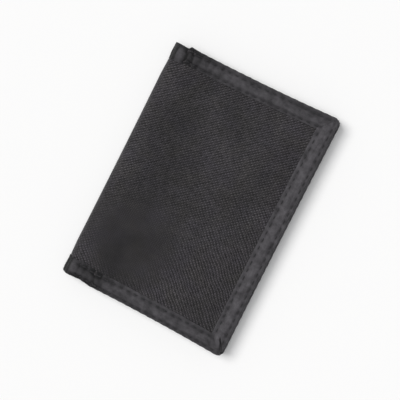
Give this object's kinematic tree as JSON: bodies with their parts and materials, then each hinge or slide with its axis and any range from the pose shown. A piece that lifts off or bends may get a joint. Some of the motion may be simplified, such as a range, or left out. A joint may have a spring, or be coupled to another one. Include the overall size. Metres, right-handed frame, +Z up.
{
  "type": "bifold wallet",
  "caption": "Woven nylon bifold wallet with tape-bound edges, a note compartment, card pockets, a clear card window and a zipped coin pouch.",
  "frame": {"origin": "under the middle of the closed wallet, on the face it lies on", "axes": "+Z up through the closed wallet, +X from the spine to the open edge, +Y along the spine to the edge where notes go in"},
  "size_m": [0.089, 0.127, 0.011],
  "materials": {
    "shell_cloth": "coarse plain-woven nylon, matt, dark charcoal",
    "binding_tape": "close-woven nylon tape, satin, charcoal",
    "thread": "twisted polyester sewing thread, near black",
    "foam_board": "closed-cell foam board, matt",
    "lining_cloth": "smooth coated nylon lining, black",
    "pocket_cloth": "fine plain-woven nylon, black",
    "hem_tape": "narrow ribbed nylon tape, charcoal",
    "clear_sheet": "clear soft vinyl, glossy",
    "zip_tape": "woven polyester zip tape, black",
    "zip_chain": "moulded nylon teeth, black",
    "zip_metal": "gunmetal-plated die casting, satin",
    "hook_tape": "nylon hook tape, black",
    "loop_tape": "brushed nylon loop tape, black"
  },
  "bodies": {
    "back_cover": {"back_binding": "binding_tape", "back_divider": "pocket_cloth", "back_divider_hem": "hem_tape", "back_inner_seam": "thread", "back_lining": "lining_cloth", "back_outer_seam": "thread", "back_shell": "shell_cloth", "back_stiffener": "foam_board", "card_window": "clear_sheet", "card_window_frame": "hem_tape", "loop_strip": "loop_tape", "pouch_edge_tape": "hem_tape", "pouch_lower_panel": "pocket_cloth", "pouch_upper_panel": "pocket_cloth", "zip_bottom_stop": "zip_metal", "zip_chain_lower": "zip_chain", "zip_chain_upper": "zip_chain", "zip_tape_lower": "zip_tape", "zip_tape_upper": "zip_tape", "zip_top_stops": "zip_metal"},
    "spine": {"spine_divider": "pocket_cloth", "spine_divider_hem": "hem_tape", "spine_lining": "lining_cloth", "spine_low_binding": "binding_tape", "spine_shell": "shell_cloth", "spine_top_binding": "binding_tape"},
    "front_cover": {"card_pocket_1": "pocket_cloth", "card_pocket_1_hem": "hem_tape", "card_pocket_2": "pocket_cloth", "card_pocket_2_hem": "hem_tape", "card_pocket_3": "pocket_cloth", "card_pocket_3_hem": "hem_tape", "front_binding": "binding_tape", "front_divider": "pocket_cloth", "front_divider_hem": "hem_tape", "front_inner_seam": "thread", "front_lining": "lining_cloth", "front_outer_seam": "thread", "front_shell": "shell_cloth", "front_stiffener": "foam_board", "hook_strip": "hook_tape", "pocket_edge_tape": "hem_tape"},
    "zip_slider": {"pull_tab": "zip_metal", "slider_body": "zip_metal"}
  },
  "joints": [
    {"name": "spine_fold", "type": "hinge", "parent": "back_cover", "child": "spine", "pos_m": [-0.04269, 0, 0.00181], "axis": [0, -1, 0], "range_deg": [0, 90]},
    {"name": "cover_fold", "type": "hinge", "parent": "spine", "child": "front_cover", "pos_m": [-0.04269, 0, 0.00919], "axis": [0, -1, 0], "range_deg": [0, 90]},
    {"name": "zip_slide", "type": "slide", "parent": "back_cover", "child": "zip_slider", "axis": [-1, 0, 0], "range_m": [0, 0.0545]}
  ],
  "couplings": [
    {"joint": "spine_fold", "follows": "cover_fold", "ratio": 1}
  ]
}
